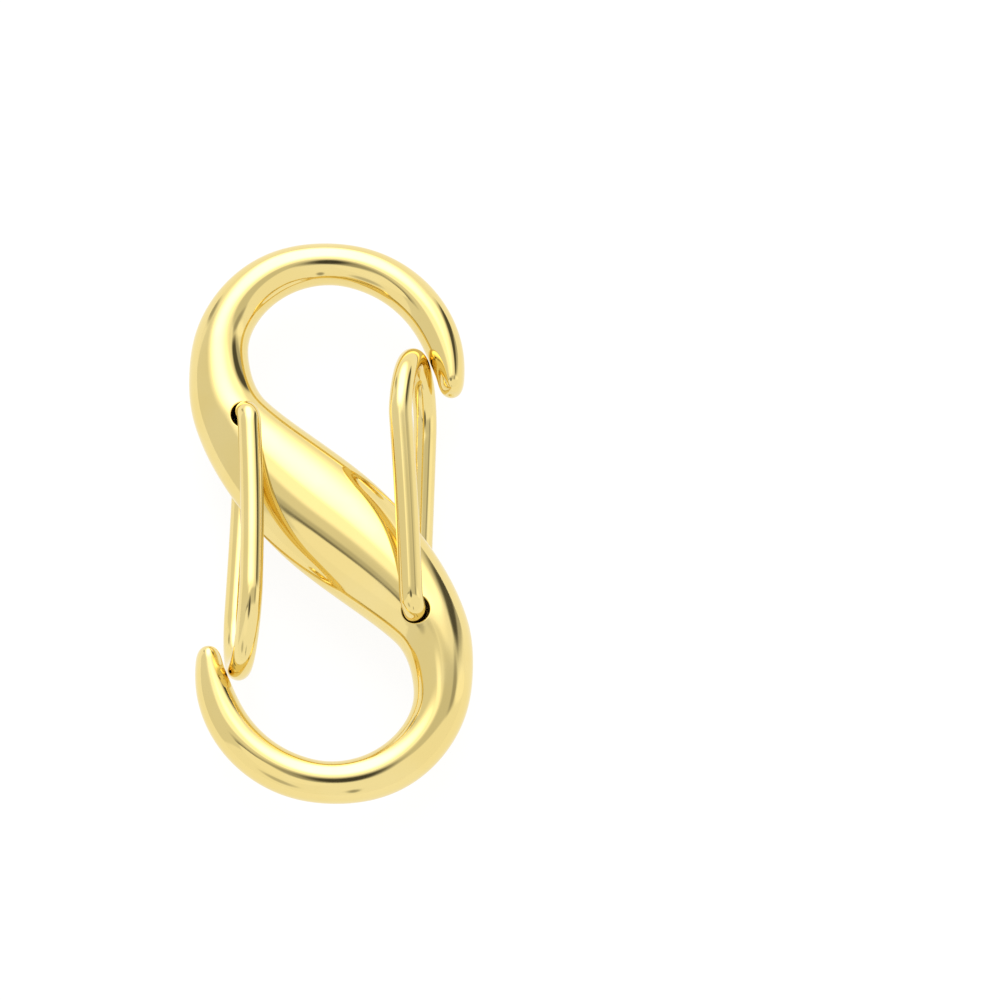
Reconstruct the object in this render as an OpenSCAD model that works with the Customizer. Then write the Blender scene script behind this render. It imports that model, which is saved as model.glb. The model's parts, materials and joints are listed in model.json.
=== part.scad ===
// Double-ended S-hook clasp with two spring wire gates, lying flat on its back legs.
// The hook runs along Y, its two loops open sideways, and Z is its thickness.
// The origin is under the middle of the hook, on the surface that it lies on.
// Each half of the hook is the other one turned half round about Z, and so is each gate.

/* [Hook] */
// Distance along the hook from its middle to the middle of a bow
bow_along = 10.6; // [10.3:0.05:10.8]
// Distance that the middle of a bow lies to the side of the hook's middle
bow_across = 0.3; // [0.1:0.05:0.5]
// Radius of a bow, to the middle of its wire
bow_r = 8.1; // [7.9:0.05:8.2]
// Diameter of the round wire at the top of a bow
bow_wire = 2.9; // [2.7:0.05:3]
// Width of the thick band in the middle of the hook
band_w = 8; // [7:0.1:8.4]
// Depth of the thick band, from front to back
band_d = 4.8; // [4.2:0.1:4.8]
// Direction of the band at the middle of the hook, in degrees from +X
band_heading = 138; // [135:1:141]

/* [Gate holes] */
// Distance of a gate hole to the side of the hook's middle
hole_across = 5.85; // [5.8:0.05:5.9]
// Distance of a gate hole along the hook from its middle
hole_along = 7; // [6.9:0.05:7.1]
// Diameter of a gate hole, which goes straight through the hook
hole_d = 1.9; // [1.9:0.05:2]

/* [Gates] */
// Diameter of the gate wire
gate_wire = 1.6; // [1.5:0.05:1.6]
// Distance of each wire end to the side of its hole's middle
pin_offset = 0.08; // [0:0.01:0.08]
// Distance of each wire end from its hole's middle, away from the gate
pin_behind = 0.08; // [0:0.01:0.08]
// Height of the front leg's middle above the hook's middle, beside the hole
front_leg = 3.1; // [3.1:0.05:3.3]
// Depth of the back leg's middle below the hook's middle
back_leg = 3.35; // [3.35:0.05:3.6]
// Half the height of the bend at the closed end of a gate, to the middle of the wire
end_bend = 3.35; // [3.15:0.05:3.35]
// Height of the closed end's middle above the hook's middle
end_lift = 0.45; // [0.3:0.05:0.5]

/* [Hidden] */

// Half width and half depth are multiples of the bow wire's radius, and the radius is one of bow_r.
// The angle goes round the middle of the bow, from near the tip, over the top, to where the waist begins.
ANGLE = 0;
RADIUS = 1;
HALF_W = 2;
HALF_D = 3;
bow_rows = [
    [ -4, 1.055, 0.62, 0.97],
    [ 12, 1.020, 0.88, 0.98],
    [ 35, 1.005, 1.00, 1.00],
    [ 65, 1.000, 1.03, 1.00],
    [ 90, 1.000, 1.00, 1.00],
    [120, 0.997, 1.13, 1.08],
    [155, 0.957, 1.26, 1.20],
    [180, 0.905, 1.47, 1.34],
    [205, 0.890, 1.78, 1.50],
];
// Half the angle over which a bow's heading is measured
heading_step = 0.5;
// How far the waist's curve keeps the band's direction, and the direction in which the bow begins
band_pull = 3.6;
bow_pull = 2.6;
// Share of the waist's swelling that comes late, towards the bow
waist_ease = 0.87;
// Where round the bow a tip starts to close, and where it ends
tip_close = -1.5;
tip_end = -9.9;
// Bluntness of a tip: its outline is a half ellipse at 2, and squarer above that
tip_power = 3;
// Angle of the tip's outline at which it ends in a small flat
tip_stop = 80;

// One row for each gate, upper then lower. Reach is from the hole to where the closed end begins,
// across is its middle's place outwards of the hole, twist turns the closed end about the leg's
// direction, bow is how far the front leg curves towards the hook's middle, and raise adds to end_lift.
REACH = 0;
ACROSS = 1;
TWIST = 2;
BOW = 3;
RAISE = 4;
gate_rows = [
    [13.61, -0.26, 14.0, -0.06, 0.36],
    [12.95,  0.04, 10.2,  0.12, 0.00],
];
// How far the middle of a closed end leans outwards
end_lean = 0.2;
// Length of the closed end as a share of its half height
end_stretch = 1.4;
// Radius of the bend beside each wire end
pin_bend = 0.85;
// How far the front wire end leans towards the hook's middle on its way up
front_lean = 0.25;
// Depth below the leg's middle at which each wire end becomes a straight pin, as a share of its bend
pin_start = 0.8;
// Distance from the hook's middle at which each pin stops
pin_stop = 0.5;
// Share of the front leg's curve that the back leg has
back_bow = 0.25;
// How far the middle of the back leg sags
back_sag = 0.15;

// How finely the hook and the wire are divided
hook_sides = 24;
bow_rings = 34;
waist_rings = 8;
tip_rings = 4;
wire_sides = 16;
leg_rings = 12;
end_rings = 16;
pin_rings = 4;
hole_fn = 48;

// The legs and bends are prisms, a little wider so that their flats hold the round pins inside them.
prism_ease = 1.01;
prism_r = prism_ease * gate_wire / 2 / cos(180 / wire_sides);
// Height of the hook's middle, with the back legs lying on the surface
mid_z = back_leg + prism_r;

function mix(a, b, t) = a + (b - a) * t;
function unit(v) = v / norm(v);

// Smooth curve through one column of bow_rows: a cubic between rows, with each row's slope taken
// from the rows on either side of it.
function row_slope(i, col) =
    let(a = max(i - 1, 0), b = min(i + 1, len(bow_rows) - 1))
    (bow_rows[b][col] - bow_rows[a][col]) / (bow_rows[b][ANGLE] - bow_rows[a][ANGLE]);

function row_below(angle, i = 0) =
    i >= len(bow_rows) - 2 || bow_rows[i + 1][ANGLE] > angle ? i : row_below(angle, i + 1);

function row_value(angle, col) =
    let(
        i = row_below(angle),
        span = bow_rows[i + 1][ANGLE] - bow_rows[i][ANGLE],
        t = (angle - bow_rows[i][ANGLE]) / span
    )
    (2 * t ^ 3 - 3 * t ^ 2 + 1) * bow_rows[i][col]
    + (t ^ 3 - 2 * t ^ 2 + t) * span * row_slope(i, col)
    + (3 * t ^ 2 - 2 * t ^ 3) * bow_rows[i + 1][col]
    + (t ^ 3 - t ^ 2) * span * row_slope(i + 1, col);

function bow_point(angle) =
    let(r = bow_r * row_value(angle, RADIUS))
    [-bow_across + r * cos(angle), bow_along + r * sin(angle)];

function bow_heading(angle) =
    unit(bow_point(angle - heading_step) - bow_point(angle + heading_step));

// A station of the hook is its centre, its heading, its half width and its half depth.
function bow_station(angle) = [
    bow_point(angle),
    bow_heading(angle),
    bow_wire / 2 * row_value(angle, HALF_W),
    bow_wire / 2 * row_value(angle, HALF_D)
];

join_angle = bow_rows[len(bow_rows) - 1][ANGLE];
join = bow_station(join_angle);
waist_a = band_pull * [cos(band_heading), sin(band_heading)];
waist_b = join[0] - bow_pull * join[1];

// The waist is a cubic curve from the middle of the hook to the bow, and swells to the band.
function waist_point(t) =
    3 * (1 - t) ^ 2 * t * waist_a + 3 * (1 - t) * t ^ 2 * waist_b + t ^ 3 * join[0];
function waist_heading(t) =
    unit((1 - t) ^ 2 * waist_a + 2 * (1 - t) * t * (waist_b - waist_a) + t ^ 2 * (join[0] - waist_b));
function waist_share(t) = (1 + waist_ease) * t ^ 2 - waist_ease * t ^ 3;
function waist_station(t) = [
    waist_point(t),
    waist_heading(t),
    mix(band_w / 2, join[2], waist_share(t)),
    mix(band_d / 2, join[3], waist_share(t))
];

// The tip goes on round the bow, and its outline is a superellipse.
function tip_station(angle) =
    let(
        along = sin(angle) ^ (2 / tip_power),
        size = cos(angle) ^ (2 / tip_power),
        s = bow_station(mix(tip_close, tip_end, along))
    )
    [s[0], s[1], s[2] * size, s[3] * size];

half_hook = concat(
    [for (i = [0 : waist_rings - 1]) waist_station(i / waist_rings)],
    [for (i = [0 : bow_rings]) bow_station(mix(join_angle, tip_close, i / bow_rings))],
    [for (i = [1 : tip_rings]) tip_station(tip_stop * i / tip_rings)]
);
last = len(half_hook) - 1;
whole_hook = concat(
    [for (i = [0 : last - 1]) let(s = half_hook[last - i]) [-s[0], s[1], s[2], s[3]]],
    half_hook
);

function hook_ring(s) = [
    for (j = [0 : hook_sides - 1])
        let(a = 360 * j / hook_sides, side = s[2] * cos(a))
        [s[0][0] - side * s[1][1], s[0][1] + side * s[1][0], s[3] * sin(a)]
];

// Skins a list of rings that all have the same number of points, and closes its ends flat.
module skin(rings) {
    n = len(rings);
    m = len(rings[0]);
    polyhedron(
        points = [for (ring = rings) each ring],
        faces = concat(
            [[for (j = [0 : m - 1]) j]],
            [for (i = [0 : n - 2], j = [0 : m - 1])
                let(k = (j + 1) % m)
                each [
                    [i * m + j, (i + 1) * m + j, (i + 1) * m + k],
                    [i * m + j, (i + 1) * m + k, i * m + k]
                ]],
            [[for (j = [0 : m - 1]) (n - 1) * m + m - 1 - j]]
        ),
        convexity = 6
    );
}

// Draws its children once as they are and once turned half round about the hook's middle.
module both_halves() {
    for (turn = [0, 180])
        rotate([0, 0, turn]) children();
}

module hook_body() {
    color("gold")
    translate([0, 0, mid_z])
    difference() {
        skin([for (s = whole_hook) hook_ring(s)]);
        both_halves()
            translate([-hole_across, hole_along, -band_d])
            cylinder(d = hole_d, h = 2 * band_d, $fn = hole_fn);
    }
}

// A gate is worked out about the middle of its hole, with its closed end towards +Y and +X outwards.
function end_point(g, angle) = [
    g[ACROSS] - end_bend * cos(angle) * sin(g[TWIST]) + end_lean * sin(angle),
    g[REACH] + end_stretch * end_bend * sin(angle),
    end_lift + g[RAISE] + end_bend * cos(angle) * cos(g[TWIST])
];

function front_bend_point(angle) = [
    -pin_offset - front_lean * sin(angle) ^ 2,
    pin_bend * (1 - cos(angle)) - pin_behind,
    front_leg - pin_bend * (1 - sin(angle))
];

function back_bend_point(angle) = [
    pin_offset,
    pin_bend * (1 - cos(angle)) - pin_behind,
    -back_leg + pin_bend * (1 - sin(angle))
];

function front_leg_point(g, t) =
    mix(front_bend_point(90), end_point(g, 0), t) - [g[BOW] * sin(180 * t), 0, 0];

function back_leg_point(g, t) =
    mix(end_point(g, 180), back_bend_point(90), t) - [back_bow * g[BOW], 0, back_sag] * sin(180 * t);

function gate_path(g) = concat(
    [for (i = [0 : pin_rings - 1]) front_bend_point(90 * i / pin_rings)],
    [for (i = [0 : leg_rings - 1]) front_leg_point(g, i / leg_rings)],
    [for (i = [0 : end_rings - 1]) end_point(g, 180 * i / end_rings)],
    [for (i = [0 : leg_rings - 1]) back_leg_point(g, i / leg_rings)],
    [for (i = [0 : pin_rings]) back_bend_point(90 - 90 * i / pin_rings)]
);

// Both ends of a gate's path run straight up, into the bend and out of it.
function path_heading(path, i) =
    i == 0 || i == len(path) - 1 ? [0, 0, 1] : unit(path[i + 1] - path[i - 1]);

// The wire never runs along X, so X squares up every ring.
function wire_ring(p, heading) =
    let(u = unit(cross(heading, [1, 0, 0])), v = cross(heading, u))
    [for (j = [0 : wire_sides - 1])
        p + prism_r * (cos(360 * j / wire_sides) * u + sin(360 * j / wire_sides) * v)];

// A pin hangs down from the front leg, at one side of the hole, or stands up from the back leg.
module pin(low_z, high_z, across) {
    translate([across, -pin_behind, low_z])
    cylinder(d = gate_wire, h = high_z - low_z, $fn = hole_fn);
}

module gate(g) {
    path = gate_path(g);
    color("gold")
    translate([hole_across, -hole_along, mid_z]) {
        skin([for (i = [0 : len(path) - 1]) wire_ring(path[i], path_heading(path, i))]);
        pin(pin_stop, front_leg - pin_start * pin_bend, -pin_offset);
        pin(pin_start * pin_bend - back_leg, -pin_stop, pin_offset);
    }
}

module upper_gate() {
    gate(gate_rows[0]);
}

module lower_gate() {
    rotate([0, 0, 180]) gate(gate_rows[1]);
}

hook_body();
upper_gate();
lower_gate();
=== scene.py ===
import json
import math

import bmesh
import bpy
import numpy as np
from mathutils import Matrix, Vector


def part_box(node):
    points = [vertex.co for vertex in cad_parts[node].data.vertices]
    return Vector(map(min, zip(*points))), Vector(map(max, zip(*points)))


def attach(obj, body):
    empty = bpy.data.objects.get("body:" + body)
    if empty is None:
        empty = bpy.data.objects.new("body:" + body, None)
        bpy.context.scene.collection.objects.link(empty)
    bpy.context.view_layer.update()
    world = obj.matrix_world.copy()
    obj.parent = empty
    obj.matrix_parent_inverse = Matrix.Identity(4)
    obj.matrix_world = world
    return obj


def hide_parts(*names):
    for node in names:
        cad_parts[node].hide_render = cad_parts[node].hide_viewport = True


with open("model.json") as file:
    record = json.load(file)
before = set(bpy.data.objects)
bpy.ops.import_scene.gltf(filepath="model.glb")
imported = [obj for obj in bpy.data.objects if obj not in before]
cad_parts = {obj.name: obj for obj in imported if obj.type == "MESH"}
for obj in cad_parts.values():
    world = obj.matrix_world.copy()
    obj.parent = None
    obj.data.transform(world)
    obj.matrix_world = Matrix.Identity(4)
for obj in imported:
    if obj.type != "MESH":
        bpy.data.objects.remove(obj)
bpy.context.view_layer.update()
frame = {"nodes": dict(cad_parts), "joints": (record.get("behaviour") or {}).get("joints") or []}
mm = 0.001  # the shapes are worked out in millimetres about the hook's middle, and placed in metres
hookLow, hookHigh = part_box("hook_body")
middle = np.array([0.0, 0.0, (hookLow.z + hookHigh.z) / 2])
hinges = {joint["child"]: np.array(joint["pos_m"]) for joint in frame["joints"]}
print("frame loaded:", ", ".join(frame["nodes"]))


def unit(vectors):
    # Each vector divided by its length.
    return vectors / np.linalg.norm(vectors, axis=-1, keepdims=True)


def turned(points, degrees):
    # The points turned about the Z axis.
    c, s = math.cos(math.radians(degrees)), math.sin(math.radians(degrees))
    return points @ np.array([[c, s, 0], [-s, c, 0], [0, 0, 1]])


def evenly(points, step):
    # Points a fixed step apart along a polyline: each column against the running length.
    run = np.r_[0, np.cumsum(np.linalg.norm(np.diff(points, axis=0), axis=1))]
    at = np.linspace(0, run[-1], int(run[-1] / step) + 2)
    return np.stack([np.interp(at, run, column) for column in points.T], axis=1)


def eased(columns, reach):
    # A moving average with a raised-cosine window of so many samples each way; both ends stay in place.
    window = 1 + np.cos(np.linspace(-np.pi, np.pi, 2 * reach + 1))
    window /= window.sum()
    padded = np.pad(columns, ((reach, reach), (0, 0)), mode="reflect", reflect_type="odd")
    return np.stack([np.convolve(column, window, mode="valid") for column in padded.T], axis=1)


def gridFaces(rows, columns):
    # Quads between neighbouring rows of a grid of points, which wraps round its columns.
    r, c = np.meshgrid(np.arange(rows - 1), np.arange(columns), indexing="ij")
    r, c = r.ravel(), c.ravel()
    d = (c + 1) % columns
    here, above = r * columns, (r + 1) * columns
    return np.stack([here + c, here + d, above + d, above + c], axis=1)


def poleFaces(ring, pole):
    # A fan of triangles from a ring of point numbers to one pole.
    return np.stack([ring, np.roll(ring, -1), np.full(len(ring), pole)], axis=1)


def meshPiece(name, points, faces, origin):
    # An object at the world's origin: points in millimetres about a place in metres, without those that no
    # face uses.
    used = np.unique(np.concatenate([part.ravel() for part in faces]))
    number = np.zeros(len(points), int)
    number[used] = np.arange(len(used))
    mesh = bpy.data.meshes.new(name)
    corners = [face for part in faces for face in number[part].tolist()]
    mesh.from_pydata((points[used] * mm + origin).tolist(), [], corners)
    piece = bpy.data.objects.new(name, mesh)
    bpy.context.scene.collection.objects.link(piece)
    return piece


def turnOutwards(mesh):
    # Every face of a closed shell faces out, and the shell shades smoothly.
    bm = bmesh.new()
    bm.from_mesh(mesh)
    bmesh.ops.recalc_face_normals(bm, faces=bm.faces)
    bm.to_mesh(mesh)
    bm.free()
    mesh.polygons.foreach_set("use_smooth", np.ones(len(mesh.polygons), bool))


# The hook: stations run from the middle of the band round a bow to its tip, and half a turn gives the rest.
hookShape = {
    "bowMiddle": (-0.3, 10.6),
    "bowRadius": 8.1,
    "wire": 2.9,  # diameter at the top of a bow
    "band": (8.0, 4.8),  # width and depth in the middle
    "bandHeading": 138,
    "bandPull": 3.6,  # how far the waist's curve holds the band's direction, and the bow's
    "bowPull": 2.6,
    "swell": 0.87,  # share of the waist's swelling that comes late
    "tipAngles": (-1.5, -9.9),  # where round the bow a tip starts to close, and where it ends
    "tipPower": 3,  # 2 is a half ellipsoid, and more is blunter
    "hole": 1.9,  # diameter of the bores that the gates turn in
    "holeLip": 0.09,  # rounding of their edges
    "apron": 1.28,  # radius of the rings that lead from the hook's skin into a bore
    "cut": 1.06,  # radius of the opening in the skin, as a share of the apron's
    "step": 0.14,  # distance between rings
    "finer": 8,  # stations to a ring's step
    "easing": 60,  # stations each way over which the places where formulas meet are rounded
    "sides": 96,
    "waistSamples": 400,
    "bowSamples": 1500,
    "boreRings": (4, 9, 12),  # on the apron, round the lip and down the wall
    "boreSides": 72,
}
# angle round the bow, radius as a share of the bow's, then half width and half depth as shares of the
# wire's radius
bowRows = np.array([
    [-4, 1.055, 0.62, 0.97],
    [12, 1.020, 0.88, 0.98],
    [35, 1.005, 1.00, 1.00],
    [65, 1.000, 1.03, 1.00],
    [90, 1.000, 1.00, 1.00],
    [120, 0.997, 1.13, 1.08],
    [155, 0.957, 1.26, 1.20],
    [180, 0.905, 1.47, 1.34],
    [205, 0.890, 1.78, 1.50],
])


def rowCurve(rows, column, at):
    # A cubic between rows, whose slope at each row is that of the line between its neighbours.
    x, y = rows[:, 0], rows[:, column]
    before, after = np.r_[0, 0:len(x) - 1], np.r_[1:len(x), len(x) - 1]
    slope = (y[after] - y[before]) / (x[after] - x[before])
    i = np.clip(np.searchsorted(x, at, side="right") - 1, 0, len(x) - 2)
    span = x[i + 1] - x[i]
    t = (at - x[i]) / span
    return (
        (2 * t**3 - 3 * t**2 + 1) * y[i] + (t**3 - 2 * t**2 + t) * span * slope[i]
        + (3 * t**2 - 2 * t**3) * y[i + 1] + (t**3 - t**2) * span * slope[i + 1]
    )


def hookStations(shape):
    # Centre x and y, half width and half depth from tip to tip, closely spaced and eased where formulas
    # meet. The bow is a circle whose radius follows the rows, and the waist a Bezier curve from the middle.
    # Over the tip's share u the sizes shrink by the p-th root of 1 - u ** p.
    closing, end = shape["tipAngles"]
    angle = np.linspace(bowRows[-1, 0], end, shape["bowSamples"])
    radius = shape["bowRadius"] * rowCurve(bowRows, 1, angle)
    turn = np.radians(angle)
    bow = np.stack([radius * np.cos(turn), radius * np.sin(turn)], axis=1) + shape["bowMiddle"]
    size = shape["wire"] / 2 * np.stack([rowCurve(bowRows, 2, angle), rowCurve(bowRows, 3, angle)], axis=1)
    t = np.linspace(0, 1, shape["waistSamples"])[:-1, None]
    heading = math.radians(shape["bandHeading"])
    leave = shape["bandPull"] * np.array([math.cos(heading), math.sin(heading)])
    arrive = bow[0] - shape["bowPull"] * unit(bow[1] - bow[0])
    waist = 3 * (1 - t) ** 2 * t * leave + 3 * (1 - t) * t**2 * arrive + t**3 * bow[0]
    share = (1 + shape["swell"]) * t**2 - shape["swell"] * t**3
    band = np.array(shape["band"]) / 2
    half = np.vstack([np.hstack([waist, band + (size[0] - band) * share]), np.hstack([bow, size])])
    mirrored = half[:0:-1] * [-1, -1, 1, 1]
    run = np.vstack([mirrored, half])
    fine = eased(evenly(run, shape["step"] / shape["finer"]), shape["easing"])
    gone = np.linalg.norm(fine[-1, :2] - fine[:, :2], axis=1)
    length = shape["bowRadius"] * math.radians(closing - end)
    u = np.clip(1 - gone / length, 0, 1)
    u = np.maximum(u, u[::-1])
    p = shape["tipPower"]
    fine[:, 2:] *= ((1 - u**p) ** (1 / p))[:, None]
    return fine


def hookRings(shape, fine):
    # Elliptical rings across the stations: the half width times a cosine sideways and the half depth times
    # a sine upwards. They are closer together where the tips close.
    ahead = unit(np.gradient(fine[:, :2], axis=0))
    change = np.abs(np.gradient(fine[:, 2])) + np.linalg.norm(np.gradient(fine[:, :2], axis=0), axis=1)
    run = np.cumsum(change)
    at = np.linspace(run[0], run[-1], int((run[-1] - run[0]) / shape["step"]))
    i = np.unique(np.searchsorted(run, at[1:-1]))
    runs, headings = fine[i], ahead[i]
    around = np.linspace(0, 2 * np.pi, shape["sides"], endpoint=False)
    side = runs[:, 2, None] * np.cos(around)
    x = runs[:, 0, None] - side * headings[:, 1, None]
    y = runs[:, 1, None] + side * headings[:, 0, None]
    z = runs[:, 3, None] * np.sin(around)
    poles = np.hstack([fine[[0, -1], :2], np.zeros((2, 1))])
    return np.stack([x, y, z], axis=-1), poles


def skinHeight(fine, points):
    # Height of the hook's skin over places in its plane: the nearest station's half depth times the root
    # of 1 - q ** 2, where q is how far out the place lies as a share of the half width.
    ahead = unit(np.gradient(fine[:, :2], axis=0))
    gap = np.linalg.norm(points[..., None, :] - fine[:, :2], axis=-1)
    i = gap.argmin(axis=-1)
    off = points - fine[i, :2]
    side = off[..., 1] * ahead[i, 0] - off[..., 0] * ahead[i, 1]
    return fine[i, 3] * np.sqrt(np.clip(1 - (side / fine[i, 2]) ** 2, 0, 1))


def boreRings(shape, fine, hole):
    # A tube from the skin on top, over a rounded lip, down the bore and out again below. Its radius
    # shrinks to the bore's over the apron and a quarter circle, and its height is the skin's less that
    # circle's drop.
    bore, lip = shape["hole"] / 2, shape["holeLip"]
    onApron, onLip, onWall = shape["boreRings"]
    k = np.radians(np.linspace(0, 90, onLip))
    apron = np.linspace(shape["apron"], bore + lip, onApron + 1)[:-1]
    radius = np.r_[apron, bore + lip * (1 - np.sin(k))]
    drop = np.r_[np.zeros(onApron), lip * (1 - np.cos(k))]
    turn = np.linspace(0, 2 * np.pi, shape["boreSides"], endpoint=False)
    place = hole[:2] + radius[:, None, None] * np.stack([np.cos(turn), np.sin(turn)], axis=-1)
    height = skinHeight(fine, place) - drop[:, None]
    top = np.concatenate([place, height[..., None]], axis=-1)
    share = np.linspace(1, -1, onWall + 2)[1:-1, None, None]
    wall = np.concatenate([np.tile(top[-1, :, :2], (len(share), 1, 1)), share * top[-1, :, 2:]], axis=-1)
    return np.concatenate([top, wall, top[::-1] * [1, 1, -1]])


def makeHook(shape, holes):
    # The skin without the faces over each bore, the bores, and a bridge of faces between their edges.
    fine = hookStations(shape)
    rings, poles = hookRings(shape, fine)
    rows, sides = rings.shape[:2]
    skin = rings.reshape(-1, 3)
    faces = gridFaces(rows, sides)
    inside = np.zeros(len(skin), bool)
    for hole in holes:
        inside |= np.linalg.norm(skin[:, :2] - hole[:2], axis=1) < shape["apron"] * shape["cut"]
    faces = faces[~inside[faces].any(axis=1)]
    used = len(skin)
    first, last = np.arange(sides), np.arange(sides) + (rows - 1) * sides
    parts = [faces, poleFaces(first, used), poleFaces(last, used + 1)]
    points = [skin, poles]
    used += 2
    for hole in holes:
        tube = boreRings(shape, fine, hole)
        parts.append(gridFaces(*tube.shape[:2]) + used)
        points.append(tube.reshape(-1, 3))
        used += tube.shape[0] * tube.shape[1]
    hook = meshPiece("cast_hook", np.vstack(points), parts, middle)
    bm = bmesh.new()
    bm.from_mesh(hook.data)
    for hole in holes:
        for above in (True, False):
            rim = [
                e for e in bm.edges
                if e.is_boundary and (e.verts[0].co.z > middle[2]) == above
                and math.dist(e.verts[0].co[:2], hole[:2] * mm) < 3 * shape["apron"] * mm
            ]
            bmesh.ops.bridge_loops(bm, edges=rim)
    bm.to_mesh(hook.data)
    bm.free()
    turnOutwards(hook.data)
    centres = np.empty(3 * len(hook.data.polygons))
    hook.data.polygons.foreach_get("center", centres)
    off = centres.reshape(-1, 1, 3)[..., :2] / mm - np.array(holes)[:, :2]
    # Faces in the bores take the second material, whose dark colour is painted shade inside the holes.
    bore = np.linalg.norm(off, axis=-1).min(axis=1) < shape["hole"] / 2 + shape["holeLip"] / 4
    hook.data.polygons.foreach_set("material_index", bore.astype(np.int32))
    return hook


# The gates: a hairpin of spring wire, worked out about its hinge with the closed end towards +Y.
gateShape = {
    "wire": 1.6,
    "pinOffset": (0.08, 0.08),  # of each wire end from the hole's middle, sideways and away from the gate
    "lean": 0.25,  # how far the front wire end leans inwards on its way up
    "pinBend": 0.85,
    "pinStop": 0.5,  # distance of each wire end from the hook's middle
    "frontLeg": 3.1,  # height of the legs beside the hole
    "backLeg": -3.35,
    "endBend": 3.35,  # half the height of the closed end
    "endStretch": 1.4,  # its length as a share of that
    "endLift": 0.45,
    "endLean": 0.2,  # how far the middle of the closed end leans outwards
    "backBow": 0.25,  # share of the front leg's bow that the back leg has
    "sag": 0.15,  # of the back leg's middle
    "endRounding": 0.4,  # of the wire's two ends, as a share of its radius
    "step": 0.1,
    "finer": 4,  # points of the path to a ring's step
    "easing": 28,  # points each way over which corners are rounded
    "sides": 40,
    "samples": (40, 120, 200),  # along a quarter circle, the closed end and a leg
    "endRings": 6,  # that round off each end of the wire
}
# reach to where the closed end begins, its place outwards, its twist in degrees, the front leg's bow, what
# is added to the lift, and the turn about Z
gates = {
    "upper_gate": (13.61, -0.26, 14, -0.06, 0.36, 0),
    "lower_gate": (12.95, 0.04, 10.2, 0.12, 0.0, 180),
}


def gatePath(shape, reach, across, twist, bow, raised):
    # Straight pin, quarter circle, bowed front leg, half ellipse, sagging back leg, quarter circle and
    # straight pin.
    (offset, behind), bend, lift = shape["pinOffset"], shape["pinBend"], shape["endLift"] + raised
    low, high, tilt = shape["backLeg"], shape["frontLeg"], math.radians(twist)
    onQuarter, onEnd, onLeg = shape["samples"]
    quarter = np.radians(np.linspace(0, 90, onQuarter))
    half = np.radians(np.linspace(0, 180, onEnd))
    t = np.linspace(0, 1, onLeg)
    inwards = -offset - shape["lean"] * np.sin(quarter) ** 2
    along = bend * (1 - np.cos(quarter)) - behind
    frontBend = np.stack([inwards, along, high - bend * (1 - np.sin(quarter))], axis=1)
    backBend = np.stack([0 * quarter + offset, along, low + bend * (1 - np.sin(quarter))], axis=1)
    end = np.stack([
        across - shape["endBend"] * np.cos(half) * math.sin(tilt) + shape["endLean"] * np.sin(half),
        reach + shape["endStretch"] * shape["endBend"] * np.sin(half),
        lift + shape["endBend"] * np.cos(half) * math.cos(tilt),
    ], axis=1)
    sway = np.stack([bow * np.sin(np.pi * t), 0 * t, 0 * t], axis=1)
    frontLeg = frontBend[-1] + (end[0] - frontBend[-1]) * t[:, None] - sway
    backLeg = end[-1] + (backBend[-1] - end[-1]) * t[:, None] - shape["backBow"] * sway
    backLeg[:, 2] -= shape["sag"] * np.sin(np.pi * t)
    pins = np.array([[-offset, -behind, shape["pinStop"]], [offset, -behind, -shape["pinStop"]]])
    path = np.vstack([pins[:1], frontBend, frontLeg[1:], end[1:], backLeg[1:], backBend[-2::-1], pins[1:]])
    return eased(evenly(path, shape["step"] / shape["finer"]), shape["easing"])


def makeGate(name, shape, reach, across, twist, bow, raised, turn):
    # A round tube along the path: rings of the wire's radius times a cosine and a sine across it, squared
    # up by X, which the wire never runs along. Each end is rounded off by a quarter circle.
    path = gatePath(shape, reach, across, twist, bow, raised)
    ahead = unit(np.gradient(path, axis=0))[::shape["finer"]]
    path = path[::shape["finer"]]
    k = np.radians(np.linspace(0, 90, shape["endRings"] + 2)[1:-1, None])
    r = shape["wire"] / 2
    rounding = shape["endRounding"] * r
    start = path[0] - ahead[0] * rounding * np.sin(k[::-1])
    stop = path[-1] + ahead[-1] * rounding * np.sin(k)
    shrink = (r - rounding * (1 - np.cos(k)))[:, 0]
    centres = np.vstack([start, path, stop])
    headings = np.vstack([np.tile(ahead[0], (len(k), 1)), ahead, np.tile(ahead[-1], (len(k), 1))])
    radii = np.r_[shrink[::-1], np.full(len(path), r), shrink]
    u = unit(np.cross(headings, [1.0, 0, 0]))
    v = np.cross(headings, u)
    around = np.linspace(0, 2 * np.pi, shape["sides"], endpoint=False)[:, None]
    outwards = np.cos(around) * u[:, None] + np.sin(around) * v[:, None]
    rings = centres[:, None] + radii[:, None, None] * outwards
    rows, sides = rings.shape[:2]
    poles = np.array([path[0] - ahead[0] * rounding, path[-1] + ahead[-1] * rounding])
    points = turned(np.vstack([rings.reshape(-1, 3), poles]), turn)
    first, last = np.arange(sides), np.arange(sides) + (rows - 1) * sides
    parts = [gridFaces(rows, sides), poleFaces(first, rows * sides), poleFaces(last, rows * sides + 1)]
    gate = meshPiece(name + "_wire", points, parts, hinges[name])
    turnOutwards(gate.data)
    return gate


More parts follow.
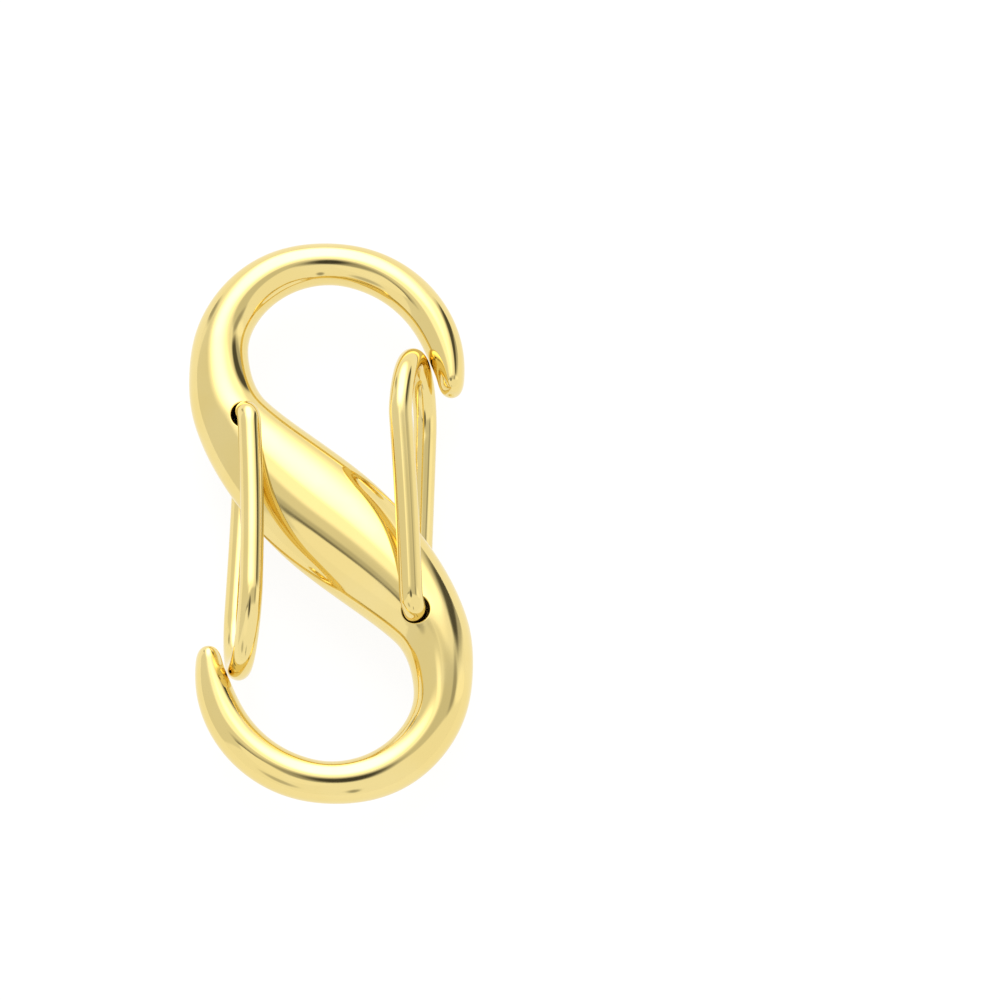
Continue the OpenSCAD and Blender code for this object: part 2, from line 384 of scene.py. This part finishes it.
class Shade:
    # A socket of a node tree. An expression on Shades and numbers adds its Math nodes.
    def __init__(self, tree, socket=None):
        self.tree, self.socket = tree, socket

    def node(self, kind, settings=None, inputs=None, output=0):
        # Adds a node: its settings first, then the values or links of its inputs.
        made = self.tree.nodes.new(kind)
        for name, value in (settings or {}).items():
            setattr(made, name, value)
        for name, value in (inputs or {}).items():
            if isinstance(value, Shade):
                self.tree.links.new(value.socket, made.inputs[name])
            else:
                made.inputs[name].default_value = value
        return Shade(self.tree, made.outputs[output] if made.outputs else None)

    def math(self, operation, first, second):
        return self.node("ShaderNodeMath", {"operation": operation}, {0: first, 1: second})

    def vector(self, operation, first, second=(0, 0, 0), output="Vector"):
        return self.node("ShaderNodeVectorMath", {"operation": operation}, {0: first, 1: second}, output)

    def __add__(self, other):
        return self.math("ADD", self, other)

    def __mul__(self, other):
        return self.math("MULTIPLY", self, other)

    def __truediv__(self, other):
        return self.math("DIVIDE", self, other)

    def __rtruediv__(self, other):
        return self.math("DIVIDE", other, self)

    __radd__, __rmul__ = __add__, __mul__

    def smooth(self, low, high):
        # 0 up to low, 1 from high, and an S curve between them.
        limits = {"Value": self, "From Min": low, "From Max": high}
        return self.node("ShaderNodeMapRange", {"interpolation_type": "SMOOTHSTEP"}, limits)


plating = {
    "colour": (0.85, 0.68, 0.27),
    "thinColour": (0.86, 0.70, 0.30),
    "roughness": 0.045,
    "roughnessSpread": 0.05,
    "patches": 5.2,  # millimetres between patches of duller and thinner plate
    "patchEdges": (0.4, 0.65),
    "waves": 2.6,  # millimetres between the soft waves that casting and polishing leave
    "waveHeight": 0.0016,
    "marks": 0.12,  # millimetres between fine polishing marks
    "markHeight": 0.00012,
}


def goldMaterial(name, finish):
    # Polished gold plate: soft waves and fine marks as bump, and patches of duller and thinner plate.
    material = bpy.data.materials.new(name)
    material.use_nodes = True
    tree = material.node_tree
    tree.nodes.clear()
    make = Shade(tree)
    place = make.node("ShaderNodeTexCoord", output="Object")

    def noise(period, detail):
        settings = {"Vector": place, "Scale": 1 / (period * mm), "Detail": detail}
        return make.node("ShaderNodeTexNoise", inputs=settings)

    waves, marks = noise(finish["waves"], 1.0), noise(finish["marks"], 2.0)
    patches = noise(finish["patches"], 3.0).smooth(*finish["patchEdges"])
    height = waves * (finish["waveHeight"] * mm) + marks * (finish["markHeight"] * mm)
    bump = make.node("ShaderNodeBump", inputs={"Strength": 1.0, "Distance": 1.0, "Height": height})
    colour = make.node("ShaderNodeMix", {"data_type": "RGBA"}, {
        "Factor": patches,
        6: (*finish["colour"], 1),  # sockets 6 and 7 are its two colours
        7: (*finish["thinColour"], 1),
    }, output=2)
    roughness = finish["roughness"] + finish["roughnessSpread"] * patches
    shader = make.node("ShaderNodeBsdfPrincipled", inputs={
        "Base Color": colour, "Metallic": 1.0, "Roughness": roughness, "Normal": bump,
    })
    make.node("ShaderNodeOutputMaterial", inputs={"Surface": shader})
    return material


# The bores are dull, because polish doesn't reach them, and their dark colour is painted shade for the
# darkness inside the holes.
boreShadeFinish = dict(
    plating,
    colour=(0.34, 0.20, 0.06), thinColour=(0.22, 0.12, 0.04),
    roughness=0.32, roughnessSpread=0.2,
)
studio = {
    "tent": 1.02,  # brightness of the plain tent all round
    # brightness, middle, half sizes, turn, squareness (2 is an ellipse) and softness of the edge. Places
    # are in degrees from overhead, towards the right and the back. Each panel covers the ones before it.
    "panels": (
        (0.84, (-50, 12), (46, 32), 20, 8, 0.05),  # wall on the left
        (0.45, (-59, 59), (7, 12), 35, 2, 0.6),
        (1.60, (-2, 48), (36, 32), 0, 2.5, 0.28),  # soft box at the back, with its glow
        (1.55, (31, 39), (15, 7), 50, 2, 0.5),
        (2.95, (-4, 51), (25, 27), 0, 2.4, 0.38),
        (1.35, (-6, 15), (14, 4.5), 20, 2, 0.4),
        (0.70, (30, 5), (28, 9.5), 4, 4, 0.25),  # dull strip and dark flag on the right
        (0.42, (46, 8), (7, 10), 0, 2, 0.5),
        (0.50, (63, 45), (17, 25), -13, 2, 0.3),
        (0.09, (58, 44), (8.5, 24), -15, 3, 0.35),
        (0.55, (-20, -3.8), (14, 3.4), 12, 2.5, 0.4),  # seam of the tent
        (0.20, (-25, -6.4), (8, 1.8), 14, 2, 0.5),
        (1.06, (-20, -24), (17.5, 17.5), 0, 2.4, 0.05),
        (0.40, (-2, -7.5), (12, 13), 0, 2, 0.3),  # opening overhead for the lens
        (0.05, (0, -7), (6, 10.5), 0, 2, 0.4),
        (0.60, (-35, -56), (13, 8), -45, 2, 0.5),
        (0.40, (9, -71), (4, 9), 5, 2, 0.5),
        (1.15, (73, 10), (17, 9), 15, 2, 0.3),
    ),
    "table": 0.15,  # colour of the table's surface, and its own glow
    "tableGlow": 0.88,
    "tableRoughness": 0.9,
    "tableRings": (0.1, 0.4, 3.0),  # metres
    "tableGap": 1e-5,
    "tableSides": 96,
}


def makeStudio(light):
    # A pale tent with brighter and darker panels on it. A direction's place is its angle from overhead
    # times its compass direction. A panel is a superellipse there: the p-th root of |u| ** p + |v| ** p,
    # which is 1 on its edge.
    world = bpy.data.worlds.new("light_tent")
    world.use_nodes = True
    bpy.context.scene.world = world
    tree = world.node_tree
    tree.nodes.clear()
    make = Shade(tree)
    ray = make.node("ShaderNodeTexCoord", output="Generated")
    height = make.node("ShaderNodeSeparateXYZ", inputs={"Vector": ray}, output="Z")
    flat = make.vector("MULTIPLY", ray, (1, 1, 0))
    sideways = make.math("MAXIMUM", make.vector("LENGTH", flat, output="Value"), 1e-5)
    angle = make.math("ARCCOSINE", height, 0.0) * (180 / math.pi)
    place = make.node("ShaderNodeVectorMath", {"operation": "SCALE"}, {
        "Vector": flat, "Scale": angle / sideways,
    })

    level = light["tent"]
    for value, (right, back), (halfAcross, halfAlong), turn, power, soft in light["panels"]:
        off = make.node("ShaderNodeMapping", {"vector_type": "TEXTURE"}, {
            "Vector": place, "Location": (right, back, 0),
            "Rotation": (0, 0, math.radians(turn)), "Scale": (halfAcross, halfAlong, 1),
        })
        if power == 2:
            size = make.vector("LENGTH", off, output="Value")
        else:
            raised = make.vector("POWER", make.vector("ABSOLUTE", off), (power, power, power))
            total = make.vector("DOT_PRODUCT", raised, (1, 1, 0), output="Value")
            size = make.math("POWER", total, 1 / power)
        level = make.node("ShaderNodeMix", inputs={
            "Factor": size.smooth(1 - soft, 1 + soft), "A": value, "B": level,
        })
    background = make.node("ShaderNodeBackground", inputs={"Color": (1, 1, 1, 1), "Strength": level})
    make.node("ShaderNodeOutputWorld", inputs={"Surface": background})


def makeFloor(light):
    # A round floor just under the clasp: a pale table that is lit from inside, so that shadows stay faint.
    sides = light["tableSides"]
    turn = np.linspace(0, 2 * np.pi, sides, endpoint=False)
    radius = np.array(light["tableRings"])[:, None]
    height = 0 * radius * turn - light["tableGap"]
    rings = np.stack([radius * np.cos(turn), radius * np.sin(turn), height], axis=-1)
    mesh = bpy.data.meshes.new("floor")
    faces = gridFaces(len(radius), sides)[:, ::-1].tolist() + [list(range(sides))]
    mesh.from_pydata(rings.reshape(-1, 3).tolist(), [], faces)
    floor = bpy.data.objects.new("floor", mesh)
    bpy.context.scene.collection.objects.link(floor)
    material = bpy.data.materials.new("pale_table")
    material.use_nodes = True
    shader = material.node_tree.nodes["Principled BSDF"]
    shader.inputs["Base Color"].default_value = (light["table"],) * 3 + (1,)
    shader.inputs["Emission Color"].default_value = (1, 1, 1, 1)
    shader.inputs["Emission Strength"].default_value = light["tableGlow"]
    shader.inputs["Roughness"].default_value = light["tableRoughness"]
    shader.inputs["Specular IOR Level"].default_value = 0.0
    mesh.materials.append(material)


cameraView = {
    "elevation": 71,
    "lens": 400,
    "sensor": 36,
    "pixelsPerMetre": 14650,
    "claspPixel": (330.5, 521.4),  # where the hook's middle lies in the picture
    "picture": 1000,
}


def makeCamera(view):
    # Looks down from the -Y side, as far off as the lens needs for the picture's scale.
    tilt = math.radians(view["elevation"])
    towards = np.array([0, -math.cos(tilt), math.sin(tilt)])
    upwards = np.array([0, math.sin(tilt), math.cos(tilt)])
    right = (view["picture"] / 2 - view["claspPixel"][0]) / view["pixelsPerMetre"]
    up = (view["claspPixel"][1] - view["picture"] / 2) / view["pixelsPerMetre"]
    distance = view["picture"] / view["pixelsPerMetre"] * view["lens"] / view["sensor"]
    data = bpy.data.cameras.new("camera")
    data.lens, data.sensor_width = view["lens"], view["sensor"]
    data.clip_start, data.clip_end = 0.01, 20
    camera = bpy.data.objects.new("camera", data)
    camera.location = middle + [right, 0, 0] + up * upwards + distance * towards
    camera.rotation_euler = (math.radians(90 - view["elevation"]), 0, 0)
    bpy.context.scene.collection.objects.link(camera)
    bpy.context.scene.camera = camera


makeCamera(cameraView)
makeStudio(studio)
makeFloor(studio)
bpy.context.scene.view_settings.view_transform = "Standard"
print("camera, light and floor made")

holes = [(hinges[name] - middle) / mm for name in gates]
# The bores' material is darker than the rest: its colour is painted shade inside the holes.
castGold, boreGoldShaded, wireGold = (
    goldMaterial(name, finish)
    for name, finish in (("cast_gold", plating), ("bore_gold_painted_shade", boreShadeFinish), ("wire_gold", plating))
)
hook = makeHook(hookShape, holes)
hook.data.materials.append(castGold)
hook.data.materials.append(boreGoldShaded)
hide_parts("hook_body")
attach(hook, "hook")
print("hook made:", len(hook.data.polygons), "faces")

for name, values in gates.items():
    gate = makeGate(name, gateShape, *values)
    gate.data.materials.append(wireGold)
    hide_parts(name)
    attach(gate, name)
    print(name, "made:", len(gate.data.polygons), "faces")
